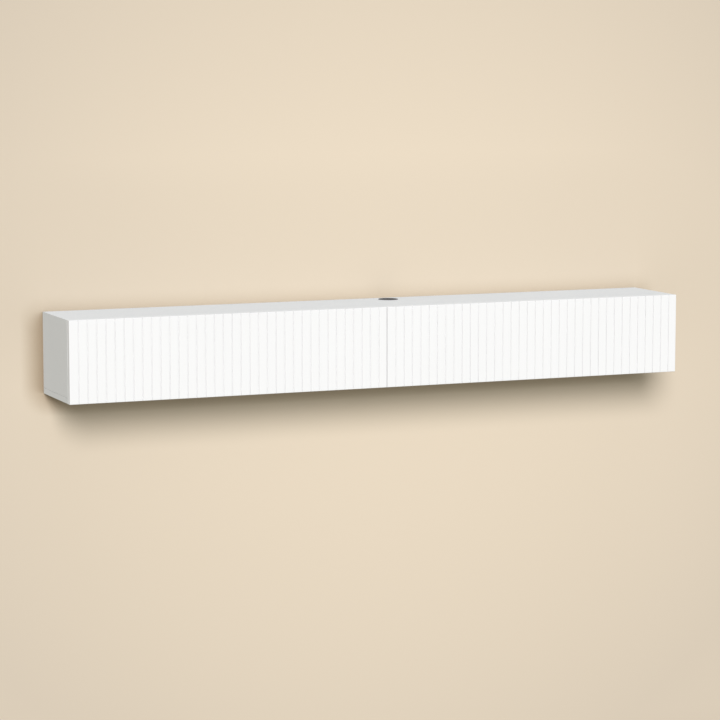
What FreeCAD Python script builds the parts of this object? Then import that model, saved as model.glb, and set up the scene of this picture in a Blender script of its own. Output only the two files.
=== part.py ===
"""Wall-hung media console: a long lacquered cabinet with two fluted drop-down doors, hung on a steel rail.

Frame, in millimetres: +X to the right seen from the front, +Y towards the wall, +Z up.
The origin lies on the wall, midway along the rail, on the line of its screw slots.
"""
import FreeCAD, Part
import math
import os

V = FreeCAD.Vector

# Overall
console_length = 2200.0
console_height = 270.0  # carcass and doors, without the rim of the cable grommet
console_depth = 300.0

# Boards
board = 18.0
door_board = 18.0
back_board = 4.0
door_gap = 2.5  # between the carcass edges and the backs of the doors
seam_gap = 1.0  # between the two doors
edge_chamfer = 1.0  # round the outer edges of each door front

# Fluted door fronts
slats_per_door = 36
flute_width = 4.0
flute_depth = 3.0

# Round parts that are made as many-sided bars
ring_sides = 48
small_round_sides = 12
screw_sides = 8

# Back panels
back_space = 22.0  # from the wall to the back panels
back_groove_depth = 6.0
back_groove_play = 0.1  # on each face of the back board
back_tongue_play = 0.5  # at the bottom of the groove
outlet_length = 120.0
outlet_height = 50.0
outlet_rise = 75.0  # from the compartment floor to the middle of the outlet

# Centre divider
divider_pass_length = 70.0
divider_pass_height = 40.0
divider_pass_rise = 75.0
divider_pass_from_wall = 100.0

# Corner joints
fitting_inset = 60.0  # from the front edge, and from the wall, to each cam
dowel_spacing = 32.0  # from each cam to its dowel
cam_radius = 7.5
cam_depth = 12.5
cam_rise = 24.0
cam_bolt_radius = 3.5
dowel_radius = 4.0
dowel_in_end = 22.0  # depth in the end of the upright board
dowel_in_face = 12.0  # depth in the face of the level board
spline_thickness = 3.0
spline_reach = 6.0  # to each side of the mitre
spline_stop = 20.0  # short of the front edge and of the back groove
shadow_groove_height = 1.0  # on the outside, where the sides stand on the bottom panel
shadow_groove_depth = 3.0

# Wall rail
rail_below_top = 70.0  # from the top of the console down to the line of screw slots
rail_steel = 2.0
rail_below_line = 18.0
rail_above_line = 10.0
rail_gap = 6.0  # between the wall flange and the lip
rail_lip = 14.0
rail_end_gap = 6.0
rail_bend = 2.5
rail_notch_play = 2.0
slot_count = 4
slot_spacing = 600.0
slot_length = 24.0
slot_radius = 3.2

# Cabinet hangers
hanger_width = 18.0
hanger_length = 60.0
hanger_height = 42.0
hanger_below_hook = 20.0
hanger_nose = 10.0
hanger_wall = 4.0
hanger_setback = 1.0  # in front of the back panel
hanger_notch_play = 6.0
hook_steel = 2.5
hook_width = 12.0
hook_drop = 10.0  # behind the lip of the rail
adjuster_radius = 2.5
adjuster_head_radius = 4.5
adjuster_head_height = 3.0
adjuster_pitch = 13.0
adjuster_reach = 24.0  # of the lower adjuster, into the housing

# Cable grommet
grommet_hole_radius = 30.0
grommet_x = 108.0
grommet_from_wall = 57.0
grommet_rim_radius = 34.0
grommet_rim_height = 1.2
grommet_sleeve_play = 0.2
grommet_sleeve_wall = 2.3
grommet_sleeve_below = 4.0
cap_thickness = 1.8
cap_ledge = 1.5
cap_play = 0.2
cap_notch_radius = 8.0
cap_notch_inset = 12.0  # from the cap's edge to the centre of the notch's round end

# Door hinges
hinge_inset = 5.0  # axis behind the front edge of the carcass
hinge_rise = 5.0  # axis above the underside of the console
hinge_from_end = 120.0
knuckle_radius = 4.0
knuckle_width = 24.0
knuckle_side_play = 0.3
ear_thickness = 4.0
pin_radius = 2.0
pin_play = 0.05
notch_side_play = 0.5
notch_back_play = 2.5
hinge_flange_width = 56.0
hinge_flange_length = 34.0
hinge_flange_thickness = 3.0
leaf_thickness = 2.0
leaf_height = 46.0

# Flap stays, laid out in the plane across the hinge axis
damper_back = 80.0
damper_up = 70.0
bracket_back = 12.0
bracket_up = 120.0
damper_radius = 17.0
damper_height = 12.0
damper_flange = 3.0
damper_flange_reach = 26.0
damper_flange_radius = 9.0
rotor_square = 9.0
arm_radius = 8.0
arm_steel = 3.0
arm_play = 0.4  # between the layers of the stay
pivot_radius = 3.0
open_pivot_play = 0.2
pivot_head_radius = 5.5
pivot_head_height = 1.6
pivot_head_play = 0.3
bracket_flange_width = 30.0
bracket_flange_half_height = 20.0
bracket_flange_thickness = 2.4

# Push latches
latch_spread = 300.0  # from the middle of the door to each latch
latch_drop = 9.0  # from the underside of the top to the plunger
latch_width = 14.0
latch_length = 70.0
latch_setback = 1.0
latch_wing_width = 38.0
latch_wing_length = 26.0
latch_wing_thickness = 2.5
plunger_radius = 4.0
plunger_play = 0.05
plunger_length = 56.0
plunger_bore_depth = 62.0
plunger_gap = 0.2  # between the plunger and its strike plate
strike_radius = 8.0
strike_thickness = 1.0

# Door buffers
buffer_radius = 3.0
buffer_clearance = 0.3
buffer_from_edge = 40.0

# Planes and lines that the pieces share
half_length = console_length / 2
top_z = rail_below_top
bottom_z = top_z - console_height
ceiling_z = top_z - board
floor_z = bottom_z + board
front_y = -console_depth
door_back_y = front_y + door_board
carcass_front_y = door_back_y + door_gap
back_rear_y = -back_space
back_front_y = back_rear_y - back_board
side_face_x = half_length - board
divider_face_x = board / 2
hinge_y = carcass_front_y + hinge_inset
hinge_z = bottom_z + hinge_rise
lip_top_z = rail_above_line + rail_lip
lip_rear_y = -rail_steel - rail_gap
lip_front_y = lip_rear_y - rail_steel
hanger_rear_y = back_front_y - hanger_setback
hanger_front_y = hanger_rear_y - hanger_length
hanger_low_z = lip_top_z - hanger_below_hook
latch_z = ceiling_z - latch_drop
latch_front_y = carcass_front_y + latch_setback
grommet_y = -grommet_from_wall

LEFT, RIGHT = -1, 1


def block(x_range, y_range, z_range):
    """Box between pairs of coordinates."""
    size = [abs(high - low) for low, high in (x_range, y_range, z_range)]
    return Part.makeBox(*size, V(min(x_range), min(y_range), min(z_range)))


def prism(points, along):
    """Closed outline swept along a vector."""
    return Part.Face(Part.makePolygon(points + points[:1])).extrude(along)


def rod(radius, start, along):
    return Part.makeCylinder(radius, along.Length, start, along)


def round_end(centre, radius, along, towards):
    """Corners of half a many-sided bar, on the side that a vector points to."""
    ahead = V(towards).normalize() * radius
    aside = along.cross(towards).normalize() * radius
    corners = []
    for index in range(small_round_sides // 2 + 1):
        angle = math.pi * index / (small_round_sides // 2)
        corners.append(centre + aside * math.cos(angle) + ahead * math.sin(angle))
    return corners


def turned(radius, start, along, sides=small_round_sides):
    """Round bar as a prism with its corners on the radius."""
    aside = along.cross(V(along.y, along.z, along.x)).normalize() * radius
    across = along.cross(aside).normalize() * radius
    corners = []
    for index in range(sides):
        angle = 2 * math.pi * (index + 0.5) / sides
        corners.append(start + aside * math.cos(angle) + across * math.sin(angle))
    return prism(corners, along)


def bored(radius, start, along):
    """Hole for a bar that turns in it: a prism with its flats on the radius."""
    return turned(radius / math.cos(math.pi / small_round_sides), start, along)


def strap(start, end, radius, along):
    """Flat strip between two centres with many-sided round ends, swept along a vector."""
    run = end - start
    return prism(round_end(end, radius, along, run) + round_end(start, radius, along, -run), along)


def tab(centre, radius, along, root):
    """Flat strip with a many-sided round end at a centre and a square end at its root, a vector away."""
    outline = round_end(centre, radius, along, -root)
    return prism(outline + [outline[-1] + root, outline[0] + root], along)


def stadium(start, end, radius, along):
    """Round-ended strip between two centres, swept along a vector."""
    run = (end - start).normalize()
    aside = along.cross(run).normalize() * radius
    reach = run * radius
    sides = [
        Part.LineSegment(start + aside, end + aside).toShape(),
        Part.Arc(end + aside, end + reach, end - aside).toShape(),
        Part.LineSegment(end - aside, start - aside).toShape(),
        Part.Arc(start - aside, start - reach, start + aside).toShape(),
    ]
    return Part.Face(Part.Wire(sides)).extrude(along)


def edges_along_x(shape, y, z):
    """Straight edges that run along X through the given place."""
    found = []
    for edge in shape.Edges:
        middle = edge.CenterOfMass
        length_in_x = edge.BoundBox.XLength
        if abs(edge.Length - length_in_x) < 1e-6 and abs(middle.y - y) < 1e-6 and abs(middle.z - z) < 1e-6:
            found.append(edge)
    return found


def save(name, shapes):
    """Write one node: a single solid, or a group of separate ones."""
    shape = shapes[0] if len(shapes) == 1 else Part.makeCompound(shapes)
    shape.exportStep(os.path.join("parts", name + ".step"))


# ---------------------------------------------------------------- places of the repeated fittings


def compartment_ends(side):
    """Inner faces of one compartment: the X of each face and the way into the compartment."""
    return [(side * side_face_x, -side), (side * divider_face_x, side)]


def hinge_places(side):
    return [side * hinge_from_end, side * half_length / 2, side * (half_length - hinge_from_end)]


def latch_places(side):
    middle = side * half_length / 2
    return [middle - latch_spread, middle + latch_spread]


def fitting_lines():
    """Y of the cams, and of the dowel that lies inwards of each."""
    front = carcass_front_y + fitting_inset
    rear = -fitting_inset
    return [(front, front + dowel_spacing), (rear, rear - dowel_spacing)]


def uprights():
    """Middle of each upright board, the X of the face that holds its cams, and the way into the board."""
    middle = half_length - board / 2
    return [(-middle, -side_face_x, -1), (0.0, -divider_face_x, 1), (middle, side_face_x, 1)]


# ---------------------------------------------------------------- carcass joints


def cam_discs():
    """Discs in the faces of the uprights. Their pockets have the same outline."""
    discs = []
    for _, face, into in uprights():
        for cam_y, _ in fitting_lines():
            discs.append(turned(cam_radius, V(face, cam_y, floor_z + cam_rise), V(into * cam_depth, 0, 0)))
    return discs


def upright_rods(length):
    """Rods of the bolts' radius under every upright, from inside the bottom panel upwards."""
    rods = []
    for middle, _, _ in uprights():
        for cam_y, _ in fitting_lines():
            low = V(middle, cam_y, floor_z - dowel_in_face)
            rods.append(turned(cam_bolt_radius, low, V(0, 0, length), screw_sides))
    return rods


def cam_bolts():
    return upright_rods(dowel_in_face + cam_rise - cam_radius)


def cam_bolt_bores():
    """Bores that open into the cam pockets."""
    return upright_rods(dowel_in_face + cam_rise)


def panel_dowels():
    """Dowels under every upright, and over the divider."""
    length = dowel_in_end + dowel_in_face
    low_ends = []
    for _, dowel_y in fitting_lines():
        for middle, _, _ in uprights():
            low_ends.append(V(middle, dowel_y, floor_z - dowel_in_face))
        low_ends.append(V(0, dowel_y, ceiling_z - dowel_in_end))
    return [turned(dowel_radius, low, V(0, 0, length), screw_sides) for low in low_ends]


def mitre_splines():
    """A flat strip across each mitre, square to the joint and stopped short of both edges."""
    splines = []
    start_y = carcass_front_y + spline_stop
    end_y = back_front_y - spline_stop
    for side in (LEFT, RIGHT):
        middle = V(side * (half_length - board / 2), start_y, top_z - board / 2)
        across = V(side, 0, -1).normalize() * spline_reach
        along_joint = V(side, 0, 1).normalize() * (spline_thickness / 2)
        outline = [
            middle + across + along_joint,
            middle + across - along_joint,
            middle - across - along_joint,
            middle - across + along_joint,
        ]
        splines.append(prism(outline, V(0, end_y - start_y, 0)))
    return splines


# ---------------------------------------------------------------- carcass boards


def back_groove_y():
    return (back_front_y - back_groove_play, back_rear_y + back_groove_play)


def top_panel():
    outline = [
        V(-half_length, carcass_front_y, top_z),
        V(half_length, carcass_front_y, top_z),
        V(side_face_x, carcass_front_y, ceiling_z),
        V(-side_face_x, carcass_front_y, ceiling_z),
    ]
    panel = prism(outline, V(0, -carcass_front_y, 0))
    groove = block((-side_face_x, side_face_x), back_groove_y(), (ceiling_z, ceiling_z + back_groove_depth))
    hole = rod(grommet_hole_radius, V(grommet_x, grommet_y, ceiling_z), V(0, 0, board))
    return panel.cut([groove, hole] + panel_dowels() + mitre_splines())


def hinge_notches():
    half_width = knuckle_width / 2 + knuckle_side_play + ear_thickness + notch_side_play
    y_range = (carcass_front_y, hinge_y + knuckle_radius + notch_back_play)
    notches = []
    for x in hinge_places(LEFT) + hinge_places(RIGHT):
        notches.append(block((x - half_width, x + half_width), y_range, (bottom_z, floor_z)))
    return notches


def bottom_panel():
    panel = block((-half_length, half_length), (carcass_front_y, 0), (bottom_z, floor_z))
    groove_end = side_face_x + back_groove_depth
    groove = block((-groove_end, groove_end), back_groove_y(), (floor_z - back_groove_depth, floor_z))
    return panel.cut([groove] + hinge_notches() + cam_bolt_bores() + panel_dowels())


def side_panel(side):
    """Mitred to the top, and rebated along its outer lower edge for the shadow groove."""
    outline = [
        V(side * (half_length - shadow_groove_depth), carcass_front_y, floor_z),
        V(side * (half_length - shadow_groove_depth), carcass_front_y, floor_z + shadow_groove_height),
        V(side * half_length, carcass_front_y, floor_z + shadow_groove_height),
        V(side * half_length, carcass_front_y, top_z),
        V(side * side_face_x, carcass_front_y, ceiling_z),
        V(side * side_face_x, carcass_front_y, floor_z),
    ]
    panel = prism(outline, V(0, -carcass_front_y, 0))
    groove_x = (side * side_face_x, side * (side_face_x + back_groove_depth))
    groove = block(groove_x, back_groove_y(), (floor_z, ceiling_z))
    return panel.cut([groove] + cam_discs() + cam_bolt_bores() + panel_dowels() + mitre_splines())


def centre_divider():
    panel = block((-divider_face_x, divider_face_x), (carcass_front_y, 0), (floor_z, ceiling_z))
    grooves = []
    for side in (LEFT, RIGHT):
        groove_x = (side * divider_face_x, side * (divider_face_x - back_groove_depth))
        grooves.append(block(groove_x, back_groove_y(), (floor_z, ceiling_z)))
    rail_notch = block(
        (-divider_face_x, divider_face_x),
        (lip_front_y - rail_notch_play, 0),
        (-rail_below_line - rail_notch_play, lip_top_z + rail_notch_play),
    )
    half_run = (divider_pass_length - divider_pass_height) / 2
    pass_z = floor_z + divider_pass_rise
    cable_pass = stadium(
        V(-divider_face_x, -divider_pass_from_wall - half_run, pass_z),
        V(-divider_face_x, -divider_pass_from_wall + half_run, pass_z),
        divider_pass_height / 2,
        V(board, 0, 0),
    )
    return panel.cut(grooves + [rail_notch, cable_pass] + cam_discs() + cam_bolt_bores() + panel_dowels())


def back_panel(side):
    """Thin board let into all four grooves, with its upper corners cut away for the hangers."""
    tongue = back_groove_depth - back_tongue_play
    notch = hanger_width + hanger_notch_play
    inner, outer = divider_face_x, side_face_x
    corners = [
        (inner - tongue, floor_z - tongue),
        (outer + tongue, floor_z - tongue),
        (outer + tongue, hanger_low_z),
        (outer - notch, hanger_low_z),
        (outer - notch, ceiling_z + tongue),
        (inner + notch, ceiling_z + tongue),
        (inner + notch, hanger_low_z),
        (inner - tongue, hanger_low_z),
    ]
    outline = [V(side * x, back_front_y, z) for x, z in corners]
    half_run = (outlet_length - outlet_height) / 2
    outlet_x = side * (inner + outer) / 2
    outlet_z = floor_z + outlet_rise
    outlet = stadium(
        V(outlet_x - half_run, back_front_y, outlet_z),
        V(outlet_x + half_run, back_front_y, outlet_z),
        outlet_height / 2,
        V(0, back_board, 0),
    )
    return prism(outline, V(0, back_board, 0)).cut(outlet)


# ---------------------------------------------------------------- wall rail and hangers


def wall_rail():
    """Bent steel strip: a flange on the wall, a step forward and an upright lip."""
    end_x = side_face_x - rail_end_gap
    section = [
        (0, -rail_below_line),
        (0, rail_above_line),
        (lip_rear_y, rail_above_line),
        (lip_rear_y, lip_top_z),
        (lip_front_y, lip_top_z),
        (lip_front_y, rail_above_line - rail_steel),
        (-rail_steel, rail_above_line - rail_steel),
        (-rail_steel, -rail_below_line),
    ]
    rail = prism([V(-end_x, y, z) for y, z in section], V(2 * end_x, 0, 0))
    outer_bends = edges_along_x(rail, 0, rail_above_line)
    outer_bends += edges_along_x(rail, lip_front_y, rail_above_line - rail_steel)
    rail = rail.makeFillet(rail_bend, outer_bends)
    inner_bends = edges_along_x(rail, -rail_steel, rail_above_line - rail_steel)
    inner_bends += edges_along_x(rail, lip_rear_y, rail_above_line)
    rail = rail.makeFillet(rail_bend - rail_steel, inner_bends)
    half_run = slot_length / 2 - slot_radius
    slots = []
    for index in range(slot_count):
        x = (index - (slot_count - 1) / 2) * slot_spacing
        start = V(x - half_run, -rail_steel, 0)
        end = V(x + half_run, -rail_steel, 0)
        slots.append(stadium(start, end, slot_radius, V(0, rail_steel, 0)))
    return rail.cut(slots)


def hook_front_y():
    return hanger_front_y + hanger_wall


def hanger_hook(face, into):
    """Bent strip that slides in the housing, rests on the lip of the rail and drops behind it."""
    tongue_rear_y = lip_rear_y + hook_steel
    section = [
        (hook_front_y(), lip_top_z),
        (lip_rear_y, lip_top_z),
        (lip_rear_y, lip_top_z - hook_drop),
        (tongue_rear_y, lip_top_z - hook_drop),
        (tongue_rear_y, lip_top_z + hook_steel),
        (hook_front_y(), lip_top_z + hook_steel),
    ]
    start_x = face + into * (hanger_width - hook_width) / 2
    hook = prism([V(start_x, y, z) for y, z in section], V(into * hook_width, 0, 0))
    bend = edges_along_x(hook, tongue_rear_y, lip_top_z + hook_steel)
    return hook.makeFillet(hook_steel, bend)


def hanger_adjuster_lines():
    """Z and inner end of the depth adjuster, which bears on the hook, and of the height adjuster."""
    depth_z = lip_top_z + hook_steel / 2
    return [(depth_z, hook_front_y()), (depth_z - adjuster_pitch, hanger_front_y + adjuster_reach)]


def hanger_housing(face, into):
    """Housing with a sloped nose, a channel for the hook and bores for the adjusters."""
    high_z = hanger_low_z + hanger_height
    section = [
        (hanger_rear_y, hanger_low_z),
        (hanger_rear_y, high_z),
        (hanger_front_y + hanger_nose, high_z),
        (hanger_front_y, high_z - hanger_nose),
        (hanger_front_y, hanger_low_z + hanger_nose / 2),
        (hanger_front_y + hanger_nose / 2, hanger_low_z),
    ]
    housing = prism([V(face, y, z) for y, z in section], V(into * hanger_width, 0, 0))
    middle_x = face + into * hanger_width / 2
    channel = block(
        (middle_x - hook_width / 2, middle_x + hook_width / 2),
        (hook_front_y(), hanger_rear_y),
        (lip_top_z, lip_top_z + hook_steel),
    )
    return housing.cut([channel] + hanger_adjusters(face, into))


def hanger_adjusters(face, into):
    middle_x = face + into * hanger_width / 2
    screws = []
    for z, end_y in hanger_adjuster_lines():
        start = V(middle_x, hanger_front_y, z)
        shank = turned(adjuster_radius, start, V(0, end_y - hanger_front_y, 0), screw_sides)
        head = turned(adjuster_head_radius, start, V(0, -adjuster_head_height, 0), screw_sides)
        screws.append(shank.fuse(head))
    return screws


# ---------------------------------------------------------------- cable grommet


def grommet_ring(radius, low, high):
    """Upright bar on the grommet's axis between two heights above the top of the console."""
    return turned(radius, V(grommet_x, grommet_y, top_z + low), V(0, 0, high - low), ring_sides)


def grommet_inner_radius():
    return grommet_hole_radius - grommet_sleeve_play - grommet_sleeve_wall


def grommet_liner():
    """Sleeve through the top with a flat rim, recessed for the cap."""
    low = -board - grommet_sleeve_below
    sleeve = grommet_ring(grommet_hole_radius - grommet_sleeve_play, low, 0)
    rim = grommet_ring(grommet_rim_radius, 0, grommet_rim_height)
    bore = grommet_ring(grommet_inner_radius(), low, grommet_rim_height)
    recess = grommet_ring(
        grommet_inner_radius() + cap_ledge,
        grommet_rim_height - cap_thickness,
        grommet_rim_height,
    )
    return sleeve.fuse(rim).cut([bore, recess])


def grommet_cap():
    """Drop-in disc, flush with the rim, with a round-ended cable notch towards the wall."""
    radius = grommet_inner_radius() + cap_ledge - cap_play
    low = grommet_rim_height - cap_thickness
    cap = grommet_ring(radius, low, grommet_rim_height)
    notch_end = V(grommet_x, grommet_y + radius - cap_notch_inset, top_z + low)
    notch = strap(notch_end, notch_end + V(0, radius, 0), cap_notch_radius, V(0, 0, cap_thickness))
    return cap.cut(notch)


# ---------------------------------------------------------------- doors and hinges


def door_panel(side):
    """Door board with an upright milled flute at every slat boundary, and half of one along the seam."""
    pitch = half_length / slats_per_door
    near, far = seam_gap / 2, half_length
    flute_floor_y = front_y + flute_depth
    corners = [
        (near, door_back_y),
        (near, flute_floor_y),
        (flute_width / 2, flute_floor_y),
        (flute_width / 2, front_y),
    ]
    for index in range(1, slats_per_door):
        left_wall = index * pitch - flute_width / 2
        right_wall = left_wall + flute_width
        corners += [
            (left_wall, front_y),
            (left_wall, flute_floor_y),
            (right_wall, flute_floor_y),
            (right_wall, front_y),
        ]
    corners += [(far - edge_chamfer, front_y), (far, front_y + edge_chamfer), (far, door_back_y)]
    outline = [V(side * x, y, bottom_z) for x, y in corners]
    door = prism(outline, V(0, 0, console_height))
    bevels = []
    for edge_z, inwards in ((bottom_z, edge_chamfer), (top_z, -edge_chamfer)):
        bevel = [
            V(0, front_y, edge_z),
            V(0, front_y + edge_chamfer, edge_z),
            V(0, front_y, edge_z + inwards),
        ]
        bevels.append(prism(bevel, V(side * half_length, 0, 0)))
    return door.cut(bevels)


def hinge_base(x):
    """Flange on the compartment floor with two ears that hang into the notch."""
    front_low = V(x - hinge_flange_width / 2, hinge_y - knuckle_radius, floor_z)
    base = Part.makeBox(hinge_flange_width, hinge_flange_length, hinge_flange_thickness, front_low)
    for way in (LEFT, RIGHT):
        start = V(x + way * (knuckle_width / 2 + knuckle_side_play), hinge_y, hinge_z)
        along = V(way * ear_thickness, 0, 0)
        ear = tab(start, knuckle_radius, along, V(0, 0, floor_z - hinge_z))
        base = base.fuse(ear).cut(bored(pin_radius, start, along))
    return base.removeSplitter()


def hinge_pin(x):
    half = knuckle_width / 2 + knuckle_side_play + ear_thickness
    return rod(pin_radius, V(x - half, hinge_y, hinge_z), V(2 * half, 0, 0))


def hinge_leaf(x):
    """Knuckle, short arm and screw plate on the back of the door, in one casting."""
    start_x = x - knuckle_width / 2
    along = V(knuckle_width, 0, 0)
    axis = V(start_x, hinge_y, hinge_z)
    plate_y = door_back_y + leaf_thickness
    outline = [
        V(start_x, door_back_y, hinge_z + leaf_height),
        V(start_x, plate_y, hinge_z + leaf_height),
        V(start_x, plate_y, hinge_z + knuckle_radius),
        *round_end(axis, knuckle_radius, along, V(0, 1, 0)),
        V(start_x, door_back_y, hinge_z - knuckle_radius),
    ]
    return prism(outline, along).cut(bored(pin_radius + pin_play, axis, along))


# ---------------------------------------------------------------- flap stays
# Each stay is a parallelogram: hinge axis, damper, joint of the two arms and door bracket are its corners.


def damper_pivot():
    return V(0, hinge_y + damper_back, hinge_z + damper_up)


def bracket_pivot():
    return V(0, hinge_y + bracket_back, hinge_z + bracket_up)


def joint_pivot():
    return damper_pivot() + bracket_pivot() - V(0, hinge_y, hinge_z)


def stay_layers():
    """Distance from the board to the near face of the drive arm, the link arm and the bracket's ear."""
    drive = damper_height + arm_play
    link = drive + arm_steel + arm_play
    ear = link + arm_steel + arm_play
    return drive, link, ear


def at_face(face, into, distance, pivot):
    return V(face + into * distance, pivot.y, pivot.z)


def stay_damper(face, into):
    """Rotary damper: a closed drum on a two-eared flange."""
    start = at_face(face, into, 0, damper_pivot())
    flange = strap(
        start - V(0, damper_flange_reach, 0),
        start + V(0, damper_flange_reach, 0),
        damper_flange_radius,
        V(into * damper_flange, 0, 0),
    )
    drum = rod(damper_radius, start, V(into * damper_height, 0, 0))
    return flange.fuse(drum).removeSplitter()


def stay_rotor(face, into):
    """Square end of the damper's shaft, which carries the drive arm."""
    drive, _, _ = stay_layers()
    pivot = damper_pivot()
    half = rotor_square / 2
    return block(
        (face + into * damper_height, face + into * (drive + arm_steel)),
        (pivot.y - half, pivot.y + half),
        (pivot.z - half, pivot.z + half),
    )


def stay_drive_arm(face, into):
    drive, _, _ = stay_layers()
    start = at_face(face, into, drive, damper_pivot())
    end = at_face(face, into, drive, joint_pivot())
    arm = strap(start, end, arm_radius, V(into * arm_steel, 0, 0))
    return arm.cut([stay_rotor(face, into), stay_rivet(face, into)])


def stay_rivet(face, into):
    """Rivet fixed in the drive arm; the link arm turns on it."""
    drive, link, _ = stay_layers()
    shank_end = link + arm_steel + pivot_head_play
    start = at_face(face, into, drive, joint_pivot())
    shank = turned(pivot_radius, start, V(into * (shank_end - drive), 0, 0))
    head_start = at_face(face, into, shank_end, joint_pivot())
    return shank.fuse(turned(pivot_head_radius, head_start, V(into * pivot_head_height, 0, 0)))


def stay_link_arm(face, into):
    _, link, _ = stay_layers()
    along = V(into * arm_steel, 0, 0)
    start = at_face(face, into, link, bracket_pivot())
    end = at_face(face, into, link, joint_pivot())
    door_hole = bored(pivot_radius + pin_play, start, along)
    rivet_hole = bored(pivot_radius + open_pivot_play, end, along)
    return strap(start, end, arm_radius, along).cut([door_hole, rivet_hole])


def stay_bracket_pin(face, into):
    """Pin fixed in the door bracket; its head keeps the link arm on."""
    _, link, ear = stay_layers()
    head_top = link - pivot_head_play
    start = at_face(face, into, head_top, bracket_pivot())
    shank = turned(pivot_radius, start, V(into * (ear + arm_steel - head_top), 0, 0))
    return shank.fuse(turned(pivot_head_radius, start, V(-into * pivot_head_height, 0, 0)))


def stay_bracket(face, into):
    """Ear that stands off the door's back, with a screw flange."""
    _, _, ear = stay_layers()
    pivot = at_face(face, into, ear, bracket_pivot())
    tongue = tab(pivot, arm_radius, V(into * arm_steel, 0, 0), V(0, door_back_y - pivot.y, 0))
    flange = block(
        (pivot.x, pivot.x + into * bracket_flange_width),
        (door_back_y, door_back_y + bracket_flange_thickness),
        (pivot.z - bracket_flange_half_height, pivot.z + bracket_flange_half_height),
    )
    return tongue.fuse(flange).removeSplitter().cut(stay_bracket_pin(face, into))


# ---------------------------------------------------------------- push latches, strikes and buffers


def latch_housing(x):
    """Barrel under the top, flat above and round below, with a screw wing on each side."""
    mouth = V(x, latch_front_y, latch_z)
    barrel = tab(mouth, latch_width / 2, V(0, latch_length, 0), V(0, 0, latch_drop))
    wing_y = latch_front_y + (latch_length - latch_wing_length) / 2
    wing = block(
        (x - latch_wing_width / 2, x + latch_wing_width / 2),
        (wing_y, wing_y + latch_wing_length),
        (ceiling_z - latch_wing_thickness, ceiling_z),
    )
    bore = turned(plunger_radius + plunger_play, mouth, V(0, plunger_bore_depth, 0), screw_sides)
    return barrel.fuse(wing).removeSplitter().cut(bore)


def latch_plunger(x):
    tip_y = door_back_y + strike_thickness + plunger_gap
    return turned(plunger_radius, V(x, tip_y, latch_z), V(0, plunger_length, 0), screw_sides)


def strike_plate(x):
    return turned(strike_radius, V(x, door_back_y, latch_z), V(0, strike_thickness, 0))


def door_buffers(side):
    """Soft dots on the back of the door that meet the upright edges of the carcass, near the top."""
    along = V(0, door_gap - buffer_clearance, 0)
    seam_edge_x = (seam_gap / 2 + divider_face_x) / 2
    buffers = []
    for x in (seam_edge_x, half_length - board / 2):
        start = V(side * x, door_back_y, top_z - buffer_from_edge)
        buffers.append(turned(buffer_radius, start, along))
    return buffers


# ---------------------------------------------------------------- the nodes


def save_carcass():
    save("top_panel", [top_panel()])
    save("bottom_panel", [bottom_panel()])
    save("left_side", [side_panel(LEFT)])
    save("right_side", [side_panel(RIGHT)])
    save("centre_divider", [centre_divider()])
    save("left_back_panel", [back_panel(LEFT)])
    save("right_back_panel", [back_panel(RIGHT)])
    save("mitre_splines", mitre_splines())
    save("panel_dowels", panel_dowels())
    save("cam_discs", cam_discs())
    save("cam_bolts", cam_bolts())


def save_hanging():
    ends = compartment_ends(LEFT) + compartment_ends(RIGHT)
    save("wall_rail", [wall_rail()])
    save("hanger_housings", [hanger_housing(face, into) for face, into in ends])
    save("hanger_hooks", [hanger_hook(face, into) for face, into in ends])
    screws = []
    for face, into in ends:
        screws += hanger_adjusters(face, into)
    save("hanger_adjusters", screws)


def save_grommet():
    save("grommet_liner", [grommet_liner()])
    save("grommet_cap", [grommet_cap()])


def save_door(name, side):
    ends = compartment_ends(side)
    hinges = hinge_places(side)
    latches = latch_places(side)
    save(name + "_door", [door_panel(side)])
    save(name + "_hinge_bases", [hinge_base(x) for x in hinges])
    save(name + "_hinge_pins", [hinge_pin(x) for x in hinges])
    save(name + "_hinge_leaves", [hinge_leaf(x) for x in hinges])
    save(name + "_stay_dampers", [stay_damper(face, into) for face, into in ends])
    save(name + "_stay_rotors", [stay_rotor(face, into) for face, into in ends])
    save(name + "_stay_drive_arms", [stay_drive_arm(face, into) for face, into in ends])
    save(name + "_stay_rivets", [stay_rivet(face, into) for face, into in ends])
    save(name + "_stay_link_arms", [stay_link_arm(face, into) for face, into in ends])
    save(name + "_stay_bracket_pins", [stay_bracket_pin(face, into) for face, into in ends])
    save(name + "_stay_brackets", [stay_bracket(face, into) for face, into in ends])
    save(name + "_latch_housings", [latch_housing(x) for x in latches])
    save(name + "_latch_plungers", [latch_plunger(x) for x in latches])
    save(name + "_strike_plates", [strike_plate(x) for x in latches])
    save(name + "_door_buffers", door_buffers(side))


os.makedirs("parts", exist_ok=True)
save_carcass()
save_hanging()
save_grommet()
save_door("left", LEFT)
save_door("right", RIGHT)
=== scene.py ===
import math

import bmesh
import bpy
from mathutils import Matrix, Vector


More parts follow.
